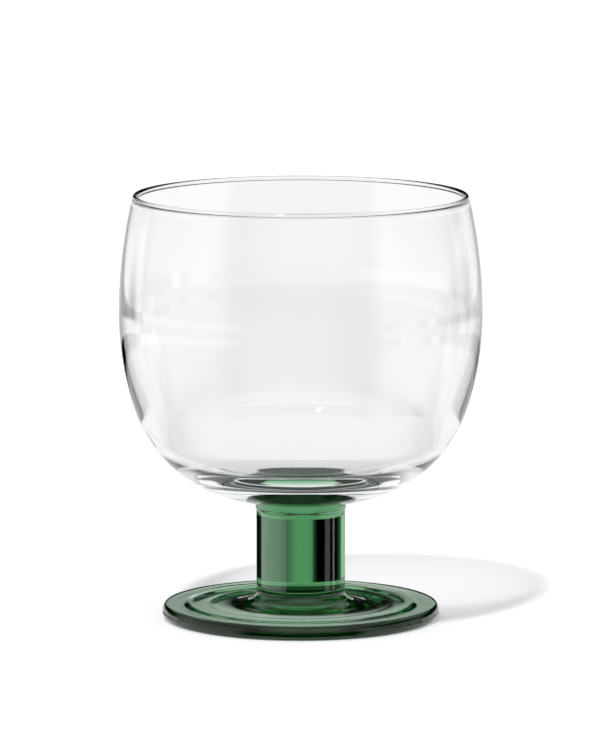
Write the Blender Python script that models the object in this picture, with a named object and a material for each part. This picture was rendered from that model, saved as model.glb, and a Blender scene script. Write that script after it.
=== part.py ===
"""Low-stemmed wine glass: a clear blown bowl on a solid green stem and a green disc foot.

The glass stands on the origin, with its axis along +Z. Its three pieces are turned outlines.
"""

import bmesh
import bpy
from math import acos, asin, cos, pi, radians, sin, sqrt

# Driving dimensions, in metres
GLASS_HEIGHT = 0.1120
JOINT_GAP = 0.0003            # stands for each fused seam

BOWL_RADIUS = 0.0477          # outside, at the widest point
BOWL_WIDEST_HEIGHT = 0.0805
UPPER_WALL_CURVE = 0.1340     # outside radius of the wall above the widest point
SIDE_CURVE = 0.0780           # outside radius of the wall below the widest point
SIDE_TURN = radians(19.3)
SHOULDER_CURVE = 0.0350       # outside radius where the wall turns under
SHOULDER_TURN = radians(74.2)
UNDERSIDE_CURVE = 0.0425      # outside radius from the shoulder to the stem

RIM_DEPTH = 0.0006            # from the top of the rim to the middle of its rounding
INNER_RADIUS = 0.0456         # inside, at the widest point
INNER_WIDEST_HEIGHT = 0.0830
INNER_UPPER_CURVE = 0.1480
INNER_SIDE_CURVE = 0.0710
INNER_SIDE_TURN = radians(28.8)
INNER_SHOULDER_CURVE = 0.0180
INNER_SHOULDER_TURN = radians(83)

STEM_RADIUS = 0.0117
STEM_EDGE = 0.0004            # small chamfer at both ends of the stem

FOOT_RADIUS = 0.0365
FOOT_EDGE_THICKNESS = 0.0037
FOOT_EDGE_DEPTH = 0.0010      # how far the rounding of the edge reaches in
FOOT_CENTRE_THICKNESS = 0.0040
FOOT_FILLET = 0.0034          # between the disc and the stem
FOOT_HOLLOW_RADIUS = 0.0270   # the underside is hollowed inside this radius
FOOT_HOLLOW_DEPTH = 0.0004
RIPPLES = (                   # crests and troughs on the foot's top: distance from axis, height
    (0.0151, 0.00400), (0.0190, 0.00355), (0.0238, 0.00372), (0.0246, 0.00368),
    (0.0288, 0.00385), (0.0312, 0.00360), (0.0355, 0.00370),
)

# Fineness of the turned surfaces
TURN_STEPS = 48
ARC_STEPS = 8
RIPPLE_STEPS = 3              # from a crest to the next trough


def arc(centre, radius, start, end, steps=ARC_STEPS):
    """Points on an arc round centre, as (distance from axis, height), from start to end."""
    points = []
    for step in range(steps + 1):
        angle = start + (end - start) * step / steps
        points.append((centre[0] + radius * cos(angle), centre[1] + radius * sin(angle)))
    return points


def tangent_centre(point, radius, turn):
    """Centre of an arc that passes through point where the wall has turned by an angle."""
    return (point[0] - radius * cos(turn), point[1] + radius * sin(turn))


def without_repeats(points):
    """The same outline with neighbouring points that coincide kept once."""
    kept = [points[0]]
    for point in points[1:]:
        apart = sqrt((point[0] - kept[-1][0]) ** 2 + (point[1] - kept[-1][1]) ** 2)
        if apart > 1e-6:
            kept.append(point)
    return kept


def bowl_outside():
    """Outer wall from just under the rim down to the stem: four arcs that meet smoothly."""
    upper_centre = (BOWL_RADIUS - UPPER_WALL_CURVE, BOWL_WIDEST_HEIGHT)
    rise = GLASS_HEIGHT - RIM_DEPTH - BOWL_WIDEST_HEIGHT
    points = arc(upper_centre, UPPER_WALL_CURVE, asin(rise / UPPER_WALL_CURVE), 0)
    side_centre = (BOWL_RADIUS - SIDE_CURVE, BOWL_WIDEST_HEIGHT)
    points += arc(side_centre, SIDE_CURVE, 0, -SIDE_TURN)
    shoulder_centre = tangent_centre(points[-1], SHOULDER_CURVE, SIDE_TURN)
    points += arc(shoulder_centre, SHOULDER_CURVE, -SIDE_TURN, -SHOULDER_TURN)
    under_centre = tangent_centre(points[-1], UNDERSIDE_CURVE, SHOULDER_TURN)
    last_turn = acos((STEM_RADIUS - under_centre[0]) / UNDERSIDE_CURVE)
    points += arc(under_centre, UNDERSIDE_CURVE, -SHOULDER_TURN, -last_turn, steps=3)
    return without_repeats(points)


def bowl_inside():
    """Inner wall from the axis up to just under the rim."""
    rise = GLASS_HEIGHT - RIM_DEPTH - INNER_WIDEST_HEIGHT
    wall = arc((INNER_RADIUS - INNER_UPPER_CURVE, INNER_WIDEST_HEIGHT), INNER_UPPER_CURVE,
               asin(rise / INNER_UPPER_CURVE), 0)
    side = arc((INNER_RADIUS - INNER_SIDE_CURVE, INNER_WIDEST_HEIGHT), INNER_SIDE_CURVE,
               0, -INNER_SIDE_TURN)
    shoulder_centre = tangent_centre(side[-1], INNER_SHOULDER_CURVE, INNER_SIDE_TURN)
    shoulder = arc(shoulder_centre, INNER_SHOULDER_CURVE, -INNER_SIDE_TURN, -INNER_SHOULDER_TURN)
    floor_curve = shoulder[-1][0] / cos(INNER_SHOULDER_TURN)
    floor_centre = (0, shoulder[-1][1] + floor_curve * sin(INNER_SHOULDER_TURN))
    floor = arc(floor_centre, floor_curve, -INNER_SHOULDER_TURN, -pi / 2, steps=4)
    return without_repeats(wall + side + shoulder + floor)[::-1]


def rim(inside_end, outside_start):
    """Half circle over the top of the wall, from the inside to the outside."""
    half_wall = (outside_start[0] - inside_end[0]) / 2
    centre = (inside_end[0] + half_wall, outside_start[1])
    return arc(centre, half_wall, pi, 0, steps=6)


def seam_height():
    """Height at which the bowl's underside meets the stem."""
    return bowl_outside()[-1][1]


def bowl_outline():
    """Whole section of the bowl, from the axis inside, over the rim, to the axis underneath."""
    inside = bowl_inside()
    outside = bowl_outside()
    crown = rim(inside[-1], outside[0])
    return without_repeats(inside + crown + outside + [(0, seam_height())])


def foot_top():
    """The foot's upper face from the fillet to the edge: smooth ripples, crest to trough."""
    points = []
    for (inner, start), (outer, end) in zip(RIPPLES, RIPPLES[1:]):
        for step in range(RIPPLE_STEPS):
            along = (step + 1) / RIPPLE_STEPS
            blend = (1 - cos(pi * along)) / 2
            points.append((inner + (outer - inner) * along, start + (end - start) * blend))
    return points


def stem_foot_height():
    """Height of the seam between the stem and the foot."""
    return FOOT_CENTRE_THICKNESS + FOOT_FILLET


def foot_outline():
    """Section of the foot, from the axis on top, round the edge, to the axis underneath."""
    points = [(0, stem_foot_height())]
    fillet_centre = (STEM_RADIUS + FOOT_FILLET, stem_foot_height())
    points += arc(fillet_centre, FOOT_FILLET, pi, 1.5 * pi, steps=5)
    points += foot_top()
    half_edge = FOOT_EDGE_THICKNESS / 2
    for across, up in arc((0, 0), 1, pi / 2, -pi / 2):
        distance = FOOT_RADIUS - FOOT_EDGE_DEPTH + FOOT_EDGE_DEPTH * across
        points.append((distance, half_edge + half_edge * up))
    dome_radius = (FOOT_HOLLOW_RADIUS ** 2 + FOOT_HOLLOW_DEPTH ** 2) / (2 * FOOT_HOLLOW_DEPTH)
    dome_turn = asin(FOOT_HOLLOW_RADIUS / dome_radius)
    dome_centre = (0, FOOT_HOLLOW_DEPTH - dome_radius)
    points += arc(dome_centre, dome_radius, pi / 2 - dome_turn, pi / 2, steps=4)
    return without_repeats(points)


def stem_outline():
    """Section of the solid stem, from its top face on the axis to its bottom face."""
    top = seam_height() - JOINT_GAP
    bottom = stem_foot_height() + JOINT_GAP
    return [
        (0, top),
        (STEM_RADIUS - STEM_EDGE, top),
        (STEM_RADIUS, top - STEM_EDGE),
        (STEM_RADIUS, bottom + STEM_EDGE),
        (STEM_RADIUS - STEM_EDGE, bottom),
        (0, bottom),
    ]


def glass(name, colour):
    """Smooth, non-metallic glass of one colour."""
    material = bpy.data.materials.new(name)
    material.use_nodes = True
    shader = material.node_tree.nodes["Principled BSDF"]
    shader.inputs["Base Color"].default_value = (*colour, 1)
    shader.inputs["Roughness"].default_value = 0.03
    shader.inputs["Metallic"].default_value = 0
    shader.inputs["IOR"].default_value = 1.52
    shader.inputs["Transmission Weight"].default_value = 1
    return material


def turned(name, outline, material):
    """A solid turned about the Z axis from an outline that starts and ends on the axis."""
    shape = bmesh.new()
    verts = [shape.verts.new((radius, 0, height)) for radius, height in outline]
    edges = [shape.edges.new(pair) for pair in zip(verts, verts[1:])]
    bmesh.ops.spin(shape, geom=verts + edges, cent=(0, 0, 0), axis=(0, 0, 1),
                   angle=2 * pi, steps=TURN_STEPS, use_merge=True)
    bmesh.ops.remove_doubles(shape, verts=shape.verts, dist=1e-6)
    bmesh.ops.recalc_face_normals(shape, faces=shape.faces)
    mesh = bpy.data.meshes.new(name)
    shape.to_mesh(mesh)
    shape.free()
    mesh.shade_smooth()
    mesh.set_sharp_from_angle(angle=radians(30))
    mesh.materials.append(material)
    piece = bpy.data.objects.new(name, mesh)
    bpy.context.scene.collection.objects.link(piece)
    return piece


def main():
    for old in list(bpy.data.objects):
        bpy.data.objects.remove(old)
    clear = glass("clear_glass", (0.95, 0.96, 0.96))
    green = glass("green_glass", (0.10, 0.36, 0.17))
    wine_glass = bpy.data.objects.new("wine_glass", None)
    bpy.context.scene.collection.objects.link(wine_glass)
    pieces = [
        turned("bowl", bowl_outline(), clear),
        turned("stem", stem_outline(), green),
        turned("foot", foot_outline(), green),
    ]
    for piece in pieces:
        piece.parent = wine_glass


main()
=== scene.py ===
"""Looks of the low-stemmed wine glass: clear bowl, green stem and green ringed foot, fused together.

Each piece is a turned shell in metres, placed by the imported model's own boxes. The glass is real
refracting glass with coloured absorption, standing on a white table in a bright, softly lit studio.
"""

from math import acos, asin, cos, pi, radians, sin

import bmesh
import bpy
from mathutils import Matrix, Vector


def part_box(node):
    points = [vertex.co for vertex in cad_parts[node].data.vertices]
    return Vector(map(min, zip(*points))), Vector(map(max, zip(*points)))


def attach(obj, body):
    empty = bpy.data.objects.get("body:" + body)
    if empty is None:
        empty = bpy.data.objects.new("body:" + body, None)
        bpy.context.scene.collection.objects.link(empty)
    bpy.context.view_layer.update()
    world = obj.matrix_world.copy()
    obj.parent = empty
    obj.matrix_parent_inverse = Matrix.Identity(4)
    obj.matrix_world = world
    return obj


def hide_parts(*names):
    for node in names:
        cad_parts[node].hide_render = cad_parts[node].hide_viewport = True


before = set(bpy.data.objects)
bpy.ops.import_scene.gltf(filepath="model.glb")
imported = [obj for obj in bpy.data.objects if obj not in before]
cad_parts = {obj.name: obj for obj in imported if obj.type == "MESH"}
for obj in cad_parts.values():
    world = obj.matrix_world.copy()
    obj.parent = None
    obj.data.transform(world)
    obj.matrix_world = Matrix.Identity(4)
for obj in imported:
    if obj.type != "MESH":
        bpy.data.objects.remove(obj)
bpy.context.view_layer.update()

# ---------------------------------------------------------------- sizes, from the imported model
BOWL_LOW, BOWL_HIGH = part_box("bowl")
STEM_LOW, STEM_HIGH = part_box("stem")
FOOT_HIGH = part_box("foot")[1]
GLASS_HEIGHT = BOWL_HIGH.z
BOWL_RADIUS = BOWL_HIGH.x
STEM_RADIUS = STEM_HIGH.x
FOOT_RADIUS = FOOT_HIGH.x
BOWL_SEAM = (STEM_HIGH.z + BOWL_LOW.z) / 2
FOOT_SEAM = (STEM_LOW.z + FOOT_HIGH.z) / 2

# ---------------------------------------------------------------- sizes, of the object itself
# Curves of the bowl, outside
BOWL_WIDEST_HEIGHT = 0.0805
UPPER_WALL_CURVE = 0.1340       # radius of the wall above the widest point
SIDE_CURVE = 0.0780             # radius of the wall below the widest point
SIDE_TURN = radians(19.3)
SHOULDER_CURVE = 0.0350         # radius where the wall turns under
SHOULDER_TURN = radians(74.2)
UNDERSIDE_CURVE = 0.0425        # radius from the shoulder to the stem

# Curves of the bowl, inside
INNER_RADIUS = 0.0456
INNER_WIDEST_HEIGHT = 0.0830
INNER_UPPER_CURVE = 0.1480
INNER_SIDE_CURVE = 0.0710
INNER_SIDE_TURN = radians(28.8)
INNER_SHOULDER_CURVE = 0.0180
INNER_SHOULDER_TURN = radians(83)
RIM_BEAD = 0.00070              # radius of the fire-polished bead round the rim

# Stem
COLLAR_HEIGHT = 0.0026          # uneven bead of glass where the stem was pressed onto the bowl
COLLAR_BULGE = 0.0004

# Foot
FOOT_EDGE_THICKNESS = 0.0037
FOOT_EDGE_DEPTH = 0.0010        # how far the rounded edge reaches in
FOOT_CENTRE_THICKNESS = 0.0040
FOOT_FILLET = 0.0034            # between the disc and the stem
FOOT_HOLLOW_RADIUS = 0.0270     # the underside is domed inside this radius
FOOT_HOLLOW_DEPTH = 0.0004
RIPPLES = (                     # crests and troughs on top of the foot: distance from axis, height
    (0.0151, 0.00400), (0.0190, 0.00355), (0.0238, 0.00372), (0.0246, 0.00368), (0.0288, 0.00385),
    (0.0312, 0.00360), (0.0355, 0.00370),
)
WAVER = 0.00010                 # how much the foot's ripples waver in height
WAVER_LENGTH = 0.0055           # from one wavering crest to the next

# Seams and fineness
SEAM_GAP = 0.00002              # between two faces that are fused
SEAM_REACH = 0.00005            # points this close to a seam's height lie in the seam
TURN_STEPS = 192
ARC_STEPS = 24
SEAM_STEPS = 4
FOOT_TOP_STEPS = 120
FOOT_EDGE_STEPS = 32


# ---------------------------------------------------------------- outlines
def arc(centre, radius, start, end, steps=ARC_STEPS):
    """Points on an arc round centre, as (distance from axis, height), from start to end."""
    points = []
    for step in range(steps + 1):
        angle = start + (end - start) * step / steps
        points.append((centre[0] + radius * cos(angle), centre[1] + radius * sin(angle)))
    return points


def tangent_centre(point, radius, turn):
    """Centre of an arc that passes through point where the wall has turned by an angle."""
    return (point[0] - radius * cos(turn), point[1] + radius * sin(turn))


def line(start, end, steps):
    """Evenly spaced points from start to end."""
    points = []
    for step in range(steps + 1):
        along = step / steps
        points.append((start[0] + (end[0] - start[0]) * along, start[1] + (end[1] - start[1]) * along))
    return points


def without_repeats(points):
    """The same outline with neighbouring points that coincide kept once."""
    kept = [points[0]]
    for point in points[1:]:
        if (Vector(point) - Vector(kept[-1])).length > 1e-6:
            kept.append(point)
    return kept


def bowl_outside():
    """Outer wall from the rim bead down to the stem: four arcs that meet smoothly."""
    rise = GLASS_HEIGHT - RIM_BEAD - BOWL_WIDEST_HEIGHT
    upper_centre = (BOWL_RADIUS - UPPER_WALL_CURVE, BOWL_WIDEST_HEIGHT)
    wall = arc(upper_centre, UPPER_WALL_CURVE, asin(rise / UPPER_WALL_CURVE), 0)
    side_centre = (BOWL_RADIUS - SIDE_CURVE, BOWL_WIDEST_HEIGHT)
    wall += arc(side_centre, SIDE_CURVE, 0, -SIDE_TURN)
    shoulder_centre = tangent_centre(wall[-1], SHOULDER_CURVE, SIDE_TURN)
    wall += arc(shoulder_centre, SHOULDER_CURVE, -SIDE_TURN, -SHOULDER_TURN)
    under_centre = tangent_centre(wall[-1], UNDERSIDE_CURVE, SHOULDER_TURN)
    last_turn = acos((STEM_RADIUS - under_centre[0]) / UNDERSIDE_CURVE)
    wall += arc(under_centre, UNDERSIDE_CURVE, -SHOULDER_TURN, -last_turn, steps=8)
    return wall


def bowl_inside():
    """Inner wall from the axis up to the height of the rim bead's middle."""
    rise = GLASS_HEIGHT - RIM_BEAD - INNER_WIDEST_HEIGHT
    upper_centre = (INNER_RADIUS - INNER_UPPER_CURVE, INNER_WIDEST_HEIGHT)
    wall = arc(upper_centre, INNER_UPPER_CURVE, asin(rise / INNER_UPPER_CURVE), 0)
    side_centre = (INNER_RADIUS - INNER_SIDE_CURVE, INNER_WIDEST_HEIGHT)
    wall += arc(side_centre, INNER_SIDE_CURVE, 0, -INNER_SIDE_TURN)
    shoulder_centre = tangent_centre(wall[-1], INNER_SHOULDER_CURVE, INNER_SIDE_TURN)
    wall += arc(shoulder_centre, INNER_SHOULDER_CURVE, -INNER_SIDE_TURN, -INNER_SHOULDER_TURN)
    floor_curve = wall[-1][0] / cos(INNER_SHOULDER_TURN)
    floor_centre = (0, wall[-1][1] + floor_curve * sin(INNER_SHOULDER_TURN))
    wall += arc(floor_centre, floor_curve, -INNER_SHOULDER_TURN, -pi / 2, steps=12)
    return wall[::-1]


def bowl_outline():
    """Section of the bowl from the axis inside, over the rim, to the axis underneath."""
    outside = bowl_outside()
    inside = bowl_inside()
    bead_centre = (outside[0][0] - RIM_BEAD, GLASS_HEIGHT - RIM_BEAD)
    reach_in = acos((bead_centre[0] - inside[-1][0]) / RIM_BEAD)
    bead_foot = bead_centre[1] - RIM_BEAD * sin(reach_in)
    inside = [point for point in inside if point[1] < bead_foot]
    bead = arc(bead_centre, RIM_BEAD, pi + reach_in, 0)
    seam_height = outside[-1][1]
    seam = line((STEM_RADIUS, seam_height), (0, seam_height), SEAM_STEPS)
    return without_repeats(inside + bead + outside + seam)


def stem_outline():
    """Section of the stem from its top face on the axis to its bottom face on the axis."""
    top = BOWL_SEAM - SEAM_GAP / 2
    bottom = FOOT_SEAM + SEAM_GAP / 2
    points = line((0, top), (STEM_RADIUS, top), SEAM_STEPS)
    points += line((STEM_RADIUS, top), (STEM_RADIUS, top - COLLAR_HEIGHT), 12)
    points += line((STEM_RADIUS, top - COLLAR_HEIGHT), (STEM_RADIUS, bottom), 24)
    points += line((STEM_RADIUS, bottom), (0, bottom), SEAM_STEPS)
    return without_repeats(points)


def foot_top_height(radius):
    """Height of the foot's upper face: smooth ripples through the crests and troughs."""
    for (inner, start), (outer, end) in zip(RIPPLES, RIPPLES[1:]):
        if radius <= outer:
            along = (radius - inner) / (outer - inner)
            return start + (end - start) * (1 - cos(pi * along)) / 2
    return RIPPLES[-1][1]


def foot_outline():
    """Section of the foot from the axis on top, round the edge, to the axis underneath."""
    top = FOOT_SEAM - SEAM_GAP / 2
    points = line((0, top), (STEM_RADIUS, top), SEAM_STEPS)
    inner = STEM_RADIUS + FOOT_FILLET
    outer = FOOT_RADIUS - FOOT_EDGE_DEPTH
    fillet_centre = (inner, FOOT_CENTRE_THICKNESS + FOOT_FILLET)
    points += arc(fillet_centre, FOOT_FILLET, pi, 1.5 * pi, steps=16)
    for radius, _ in line((inner, 0), (outer, 0), FOOT_TOP_STEPS)[1:]:
        points.append((radius, foot_top_height(radius)))
    half = FOOT_EDGE_THICKNESS / 2
    for across, up in arc((0, 0), 1, pi / 2, -pi / 2, FOOT_EDGE_STEPS)[1:]:
        points.append((outer + FOOT_EDGE_DEPTH * across, half + half * up))
    dome_radius = (FOOT_HOLLOW_RADIUS ** 2 + FOOT_HOLLOW_DEPTH ** 2) / (2 * FOOT_HOLLOW_DEPTH)
    dome_turn = asin(FOOT_HOLLOW_RADIUS / dome_radius)
    dome_centre = (0, FOOT_HOLLOW_DEPTH - dome_radius)
    points += arc(dome_centre, dome_radius, pi / 2 - dome_turn, pi / 2)
    return without_repeats(points)


# ---------------------------------------------------------------- the maker's hand
# Each of these moves a point of a turned piece, given its distance from the axis, height and angle.
def even(radius, height, angle):
    """A true circle: the point stays where it is."""
    return radius, height


def collared(radius, height, angle):
    """The stem's side, with an uneven bead just under the seam to the bowl."""
    below = BOWL_SEAM - height
    if radius < STEM_RADIUS - 1e-5 or below > COLLAR_HEIGHT:
        return radius, height
    # Two sines of different lengths keep the bead uneven all the way round.
    unevenness = 0.6 + 0.4 * sin(angle * 3 + 1.3) * sin(angle * 2)
    bulge = COLLAR_BULGE * unevenness * sin(pi * below / COLLAR_HEIGHT) ** 2
    return radius + bulge, height


def wavering(radius, height, angle):
    """The foot's top, with ripples that waver round the axis, most of all towards the back."""
    inner = STEM_RADIUS + FOOT_FILLET
    outer = FOOT_RADIUS - FOOT_EDGE_DEPTH
    if not inner < radius < outer or height < FOOT_EDGE_THICKNESS / 2:
        return radius, height
    fade = sin(pi * (radius - inner) / (outer - inner))
    # The rings drift in and out round the axis, so none of them is a true circle.
    drift = 2.2 * sin(angle + 0.5) + 0.8 * sin(3 * angle)
    phase = 2 * pi * radius / WAVER_LENGTH + drift
    share = 0.6 + 0.4 * sin(angle)
    return radius, height + WAVER * share * fade * sin(phase)


# ---------------------------------------------------------------- meshes
def turned(name, outline, material, seams, hand=even):
    """A smooth closed shell turned about Z. Faces lying in a fused seam are marked."""
    shape = bmesh.new()
    rings = []
    for radius, height in outline:
        if radius < 1e-7:
            rings.append([shape.verts.new((0, 0, height))])
            continue
        ring = []
        for step in range(TURN_STEPS):
            angle = 2 * pi * step / TURN_STEPS
            reach, level = hand(radius, height, angle)
            ring.append(shape.verts.new((reach * cos(angle), reach * sin(angle), level)))
        rings.append(ring)
    for upper, lower in zip(rings, rings[1:]):
        for step in range(TURN_STEPS):
            after = (step + 1) % TURN_STEPS
            corners = [upper[step % len(upper)], lower[step % len(lower)],
                       lower[after % len(lower)], upper[after % len(upper)]]
            shape.faces.new(list(dict.fromkeys(corners)))
    bmesh.ops.recalc_face_normals(shape, faces=shape.faces)
    mesh = bpy.data.meshes.new(name)
    shape.to_mesh(mesh)
    shape.free()
    mesh.shade_smooth()
    mark_seams(mesh, seams)
    mesh.materials.append(material)
    piece = bpy.data.objects.new(name, mesh)
    bpy.context.scene.collection.objects.link(piece)
    return piece


def mark_seams(mesh, seams):
    """Give the points in a fused seam the value 1, and all others 0."""
    fused = mesh.attributes.new("fused", "FLOAT", "POINT")
    for vert in mesh.vertices:
        radius = Vector(vert.co[:2]).length
        in_seam = any(abs(vert.co.z - seam) < SEAM_REACH for seam in seams)
        fused.data[vert.index].value = 1.0 if in_seam and radius < STEM_RADIUS + 1e-5 else 0.0


# ---------------------------------------------------------------- materials
def add_waves(material, scale, depth):
    """Faint waves in the surface, longer along the axis than round it."""
    nodes = material.node_tree.nodes
    links = material.node_tree.links
    coords = nodes.new("ShaderNodeTexCoord")
    stretch = nodes.new("ShaderNodeMapping")
    stretch.inputs["Scale"].default_value = scale
    links.new(coords.outputs["Object"], stretch.inputs["Vector"])
    waves = nodes.new("ShaderNodeTexNoise")
    waves.inputs["Scale"].default_value = 1
    waves.inputs["Detail"].default_value = 2
    links.new(stretch.outputs["Vector"], waves.inputs["Vector"])
    bump = nodes.new("ShaderNodeBump")
    bump.inputs["Strength"].default_value = 1
    bump.inputs["Distance"].default_value = depth
    links.new(waves.outputs["Fac"], bump.inputs["Height"])
    links.new(bump.outputs["Normal"], nodes["Principled BSDF"].inputs["Normal"])


def mixed(material, factor, first, second):
    """Output of a mix of two shaders."""
    mix = material.node_tree.nodes.new("ShaderNodeMixShader")
    links = material.node_tree.links
    links.new(factor, mix.inputs[0])
    links.new(first, mix.inputs[1])
    links.new(second, mix.inputs[2])
    return mix.outputs[0]


def shadow_tint(material, centre, edge):
    """What a shadow ray meets: glass it passes straight through, darker where it is seen edge on."""
    nodes = material.node_tree.nodes
    links = material.node_tree.links
    facing = nodes.new("ShaderNodeLayerWeight")
    facing.inputs["Blend"].default_value = 0.35
    tint = nodes.new("ShaderNodeMix")
    tint.data_type = "RGBA"
    links.new(facing.outputs["Facing"], tint.inputs["Factor"])
    tint.inputs["A"].default_value = (*centre, 1)
    tint.inputs["B"].default_value = (*edge, 1)
    shade = nodes.new("ShaderNodeBsdfTransparent")
    links.new(tint.outputs["Result"], shade.inputs["Color"])
    return shade.outputs[0]


def glass(name, wave_scale, wave_depth, shadow_centre, shadow_edge):
    """Refracting glass with faint waves, nothing to see in its fused seams, and a soft shadow."""
    material = bpy.data.materials.new(name)
    material.use_nodes = True
    nodes = material.node_tree.nodes
    shader = nodes["Principled BSDF"]
    shader.inputs["Base Color"].default_value = (1, 1, 1, 1)
    shader.inputs["Roughness"].default_value = 0
    shader.inputs["IOR"].default_value = 1.52
    shader.inputs["Transmission Weight"].default_value = 1
    add_waves(material, wave_scale, wave_depth)

    fused = nodes.new("ShaderNodeAttribute")
    fused.attribute_name = "fused"
    through = nodes.new("ShaderNodeBsdfTransparent")
    joined = mixed(material, fused.outputs["Fac"], shader.outputs[0], through.outputs[0])

    path = nodes.new("ShaderNodeLightPath")
    tint = shadow_tint(material, shadow_centre, shadow_edge)
    surface = mixed(material, path.outputs["Is Shadow Ray"], joined, tint)
    material.node_tree.links.new(surface, nodes["Material Output"].inputs["Surface"])
    return material


def coloured_through(material, colour, density):
    """Glass coloured all through: thicker parts look deeper."""
    nodes = material.node_tree.nodes
    volume = nodes.new("ShaderNodeVolumeAbsorption")
    volume.inputs["Color"].default_value = (*colour, 1)
    volume.inputs["Density"].default_value = density
    material.node_tree.links.new(volume.outputs[0], nodes["Material Output"].inputs["Volume"])


def clear_glass():
    """Colourless blown glass."""
    return glass("clear_glass", wave_scale=(35, 35, 12), wave_depth=0.00006,
                 shadow_centre=(0.955, 0.955, 0.96), shadow_edge=(0.62, 0.62, 0.63))


def green_glass():
    """Bottle green glass, smoother than the blown bowl."""
    material = glass("green_glass", wave_scale=(110, 110, 12), wave_depth=0.000005,
                     shadow_centre=(0.86, 0.93, 0.88), shadow_edge=(0.62, 0.74, 0.66))
    coloured_through(material, colour=(0.148, 0.593, 0.252), density=120)
    return material


# ---------------------------------------------------------------- the glass
def build_bowl(material):
    """The clear bowl, fused to the stem by its underside."""
    outline = bowl_outline()
    return turned("clear_bowl", outline, material, [outline[-1][1]])


def build_stem(material):
    """The green stem, fused at both ends."""
    seams = [BOWL_SEAM - SEAM_GAP / 2, FOOT_SEAM + SEAM_GAP / 2]
    return turned("green_stem", stem_outline(), material, seams, collared)


def build_foot(material):
    """The green foot, fused to the stem by the top of its fillet."""
    return turned("green_foot", foot_outline(), material, [FOOT_SEAM - SEAM_GAP / 2], wavering)


def build_glass():
    """The three fused pieces, each standing for its own CAD node."""
    clear = clear_glass()
    green = green_glass()
    bowl = build_bowl(clear)
    stem = build_stem(green)
    foot = build_foot(green)
    for piece, node, slot in ((bowl, "bowl", "clear_glass"), (stem, "stem", "green_glass"),
                              (foot, "foot", "green_glass")):
        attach(piece, "root")
        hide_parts(node)


# ---------------------------------------------------------------- camera and table
VIEW_DISTANCE = 1.70            # along the table, from the glass's axis
CAMERA_HEIGHT = 0.3097
AIM_ASIDE = -0.0002             # the camera aims this far beside the axis
AIM_HEIGHT = 0.0643
VIEW_HEIGHT_AT_GLASS = 0.1948   # what the picture's height takes in at the glass
SENSOR = 36

TABLE_HALF = 6
TABLE_DROP = 0.0001             # the table lies just under the glass
TABLE_GLOW = 0.13               # lifts the open table to white

# Painted shade under the foot: a glowing disc, dim within the core and as bright as the open table at
# its end, set towards the back right, where the key light throws the stem's shadow
SHADE_CORE = 0.020              # the shade under the foot is even within this radius
SHADE_END = 0.028               # and ends here
SHADE_PLACE = (0.003, 0.008, -0.00005)
SHADE_LEVEL = 0.02
OPEN_TABLE_LEVEL = 1.1


def build_camera():
    """A long lens in front of the glass, a little above it."""
    data = bpy.data.cameras.new("camera")
    data.sensor_fit = "VERTICAL"
    data.sensor_height = SENSOR
    data.lens = SENSOR * VIEW_DISTANCE / VIEW_HEIGHT_AT_GLASS
    camera = bpy.data.objects.new("camera", data)
    camera.location = (0, -VIEW_DISTANCE, CAMERA_HEIGHT)
    aim = Vector((AIM_ASIDE, 0, AIM_HEIGHT)) - camera.location
    camera.rotation_euler = aim.to_track_quat("-Z", "Y").to_euler()
    bpy.context.scene.collection.objects.link(camera)
    bpy.context.scene.camera = camera


def build_table():
    """A plain white table. The glass doesn't see it: it sees the studio's own panels instead."""
    mesh = bpy.data.meshes.new("floor")
    corners = [(-TABLE_HALF, -TABLE_HALF, 0), (TABLE_HALF, -TABLE_HALF, 0),
               (TABLE_HALF, TABLE_HALF, 0), (-TABLE_HALF, TABLE_HALF, 0)]
    mesh.from_pydata(corners, [], [(0, 1, 2, 3)])
    floor = bpy.data.objects.new("floor", mesh)
    bpy.context.scene.collection.objects.link(floor)
    paint = bpy.data.materials.new("white_table")
    paint.use_nodes = True
    shader = paint.node_tree.nodes["Principled BSDF"]
    shader.inputs["Base Color"].default_value = (0.9, 0.9, 0.9, 1)
    shader.inputs["Roughness"].default_value = 0.9
    shader.inputs["Specular IOR Level"].default_value = 0.0
    shader.inputs["Emission Color"].default_value = (1, 1, 1, 1)
    shader.inputs["Emission Strength"].default_value = TABLE_GLOW
    mesh.materials.append(paint)
    floor.location.z = -TABLE_DROP
    floor.visible_transmission = False
    floor.visible_glossy = False


def shade_material():
    """Painted shade: glowing light that is faint within the core and as bright as the open table at the
    end.
    """
    material = bpy.data.materials.new("painted_shade_disc")
    material.use_nodes = True
    nodes = material.node_tree.nodes
    links = material.node_tree.links
    nodes.remove(nodes["Principled BSDF"])
    coords = nodes.new("ShaderNodeTexCoord")
    distance = nodes.new("ShaderNodeVectorMath")
    distance.operation = "LENGTH"
    links.new(coords.outputs["Object"], distance.inputs[0])
    level = nodes.new("ShaderNodeMapRange")
    level.interpolation_type = "SMOOTHSTEP"
    links.new(distance.outputs["Value"], level.inputs["Value"])
    level.inputs["From Min"].default_value = SHADE_CORE
    level.inputs["From Max"].default_value = SHADE_END
    level.inputs["To Min"].default_value = SHADE_LEVEL
    level.inputs["To Max"].default_value = OPEN_TABLE_LEVEL
    light = nodes.new("ShaderNodeEmission")
    links.new(level.outputs["Result"], light.inputs["Strength"])
    links.new(light.outputs[0], nodes["Material Output"].inputs["Surface"])
    return material


def build_shade():
    """A glowing disc with painted shade, standing for the table under the middle of the foot in the
    shade of the stem and bowl.

    Only the glass sees this disc: the camera sees the table's own shadow.
    """
    mesh = bpy.data.meshes.new("painted_shade_disc")
    disc = bmesh.new()
    bmesh.ops.create_circle(disc, cap_ends=True, segments=96, radius=SHADE_END)
    disc.to_mesh(mesh)
    disc.free()
    mesh.materials.append(shade_material())
    painted_shade_disc = bpy.data.objects.new("painted_shade_disc", mesh)
    painted_shade_disc.location = SHADE_PLACE
    bpy.context.scene.collection.objects.link(painted_shade_disc)
    painted_shade_disc.visible_camera = False
    painted_shade_disc.visible_shadow = False
    painted_shade_disc.visible_diffuse = False


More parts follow.
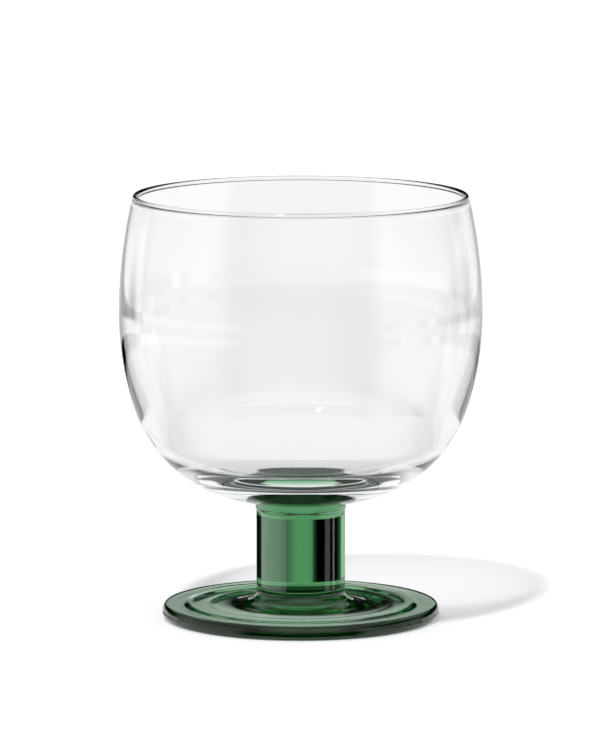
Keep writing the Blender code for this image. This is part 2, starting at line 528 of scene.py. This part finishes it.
# ---------------------------------------------------------------- studio
# What the glass sees round it. Each panel has a compass range, an elevation range and a brightness.
# Fade, dawn and rise are the widths over which its two sides, its lower edge and its upper edge
# soften, where they differ from the usual ones. All angles are in degrees. Compass counts from
# straight behind the glass, clockwise as seen from above. Where panels overlap, they add up.
STUDIO = {
    "table": dict(compass=(-125, 125), elevation=(-100, -11.5), level=0.95, fade=20),
    "near_table_left": dict(compass=(-200, -125), elevation=(-110, -38), level=1.0, fade=20, dawn=24),
    "near_table_right": dict(compass=(125, 200), elevation=(-110, -38), level=1.0, fade=20, dawn=24),
    "low_backdrop": dict(compass=(-11, 53), elevation=(-11.5, -9.2), level=0.48, rise=0.5),
    "low_glow": dict(compass=(-11, 8), elevation=(-11.5, -9.2), level=0.47, fade=11, rise=0.5),
    "backdrop": dict(compass=(-57, 60), elevation=(-9.2, 3), level=1.0, dawn=0.5, rise=4),
    "back_wall": dict(compass=(-65, 65), elevation=(22, 40), level=0.3, fade=20, dawn=8, rise=10),
    "left_softbox": dict(compass=(-130, -57), elevation=(-11.5, 25), level=0.85, fade=30, rise=15),
    "left_glow": dict(compass=(-142, -57), elevation=(-11.5, -9.2), level=0.9, rise=0.5),
    "right_strip": dict(compass=(81, 89), elevation=(-11.5, -9.2), level=1.6, rise=0.5),
    "right_panel": dict(compass=(98, 114), elevation=(-11.5, -9.2), level=1.1, fade=6, rise=0.5),
    "right_wall": dict(compass=(60, 130), elevation=(-9.2, 15), level=0.75, fade=20, dawn=0.5, rise=15),
    "room_left": dict(compass=(-200, -145), elevation=(0, 45), level=0.95, fade=60, dawn=12, rise=20),
    "room_right": dict(compass=(130, 200), elevation=(0, 45), level=0.95, fade=60, dawn=12, rise=20),
    "overhead": dict(compass=(-200, 200), elevation=(35, 100), level=0.6, dawn=20),
}
USUAL_FADE = 3
USUAL_DAWN = 1.5
USUAL_RISE = 1.5
STUDIO_TINT = (0.985, 0.977, 1.0)   # the studio's light is very slightly cool
BACKGROUND_LEVEL = 1.05             # what the camera sees past the table

KEY_STRENGTH = 2.0
KEY_SPREAD = radians(3)
KEY_DIRECTION = (0.21, 0.49, -1)


def build_world():
    """The studio's panels as light from all round. The camera itself sees an even background."""
    world = bpy.data.worlds.new("studio")
    bpy.context.scene.world = world
    world.use_nodes = True
    nodes = world.node_tree.nodes
    links = world.node_tree.links

    def maths(operation, *values):
        """Output of a maths node, fed with numbers or other nodes' outputs."""
        node = nodes.new("ShaderNodeMath")
        node.operation = operation
        for socket, value in zip(node.inputs, values):
            if isinstance(value, (int, float)):
                socket.default_value = value
            else:
                links.new(value, socket)
        return node.outputs[0]

    def soft_step(value, edge, width, rising):
        """A change between 0 and 1 that is spread over a width round an edge."""
        node = nodes.new("ShaderNodeMapRange")
        node.interpolation_type = "SMOOTHSTEP"
        links.new(value, node.inputs["Value"])
        node.inputs["From Min"].default_value = edge - width / 2
        node.inputs["From Max"].default_value = edge + width / 2
        node.inputs["To Min"].default_value = 0 if rising else 1
        node.inputs["To Max"].default_value = 1 if rising else 0
        return node.outputs["Result"]

    def between(value, low, low_width, high, high_width):
        """1 inside a range, 0 outside it."""
        return maths("MULTIPLY", soft_step(value, low, low_width, True),
                     soft_step(value, high, high_width, False))

    coords = nodes.new("ShaderNodeTexCoord")
    split = nodes.new("ShaderNodeSeparateXYZ")
    links.new(coords.outputs["Generated"], split.inputs[0])
    compass = maths("DEGREES", maths("ARCTAN2", split.outputs["X"], split.outputs["Y"]))
    elevation = maths("DEGREES", maths("ARCSINE", split.outputs["Z"]))
    total = 0.0
    for panel in STUDIO.values():
        left, right = panel["compass"]
        low, high = panel["elevation"]
        fade = panel.get("fade", USUAL_FADE)
        across = between(compass, left, fade, right, fade)
        upward = between(elevation, low, panel.get("dawn", USUAL_DAWN),
                         high, panel.get("rise", USUAL_RISE))
        lit = maths("MULTIPLY", maths("MULTIPLY", across, upward), panel["level"])
        total = maths("ADD", total, lit)
    path = nodes.new("ShaderNodeLightPath")
    brightness = nodes.new("ShaderNodeMix")
    links.new(path.outputs["Is Camera Ray"], brightness.inputs["Factor"])
    links.new(total, brightness.inputs["A"])
    brightness.inputs["B"].default_value = BACKGROUND_LEVEL
    links.new(brightness.outputs["Result"], nodes["Background"].inputs["Strength"])
    nodes["Background"].inputs["Color"].default_value = (*STUDIO_TINT, 1)


def build_key():
    """The lamp that casts the shadow, from the front left."""
    key = bpy.data.lights.new("key", "SUN")
    key.energy = KEY_STRENGTH
    key.angle = KEY_SPREAD
    lamp = bpy.data.objects.new("key", key)
    lamp.rotation_euler = Vector(KEY_DIRECTION).to_track_quat("-Z", "Y").to_euler()
    bpy.context.scene.collection.objects.link(lamp)


def set_light_paths():
    """Enough bounces for light to find its way through thick glass, without stray caustics."""
    scene = bpy.context.scene
    scene.view_settings.view_transform = "Standard"
    scene.cycles.caustics_refractive = False
    scene.cycles.caustics_reflective = False
    scene.cycles.max_bounces = 24
    scene.cycles.transmission_bounces = 24
    scene.cycles.transparent_max_bounces = 32
    scene.cycles.glossy_bounces = 12


build_glass()
build_camera()
build_table()
build_shade()
build_world()
build_key()
set_light_paths()
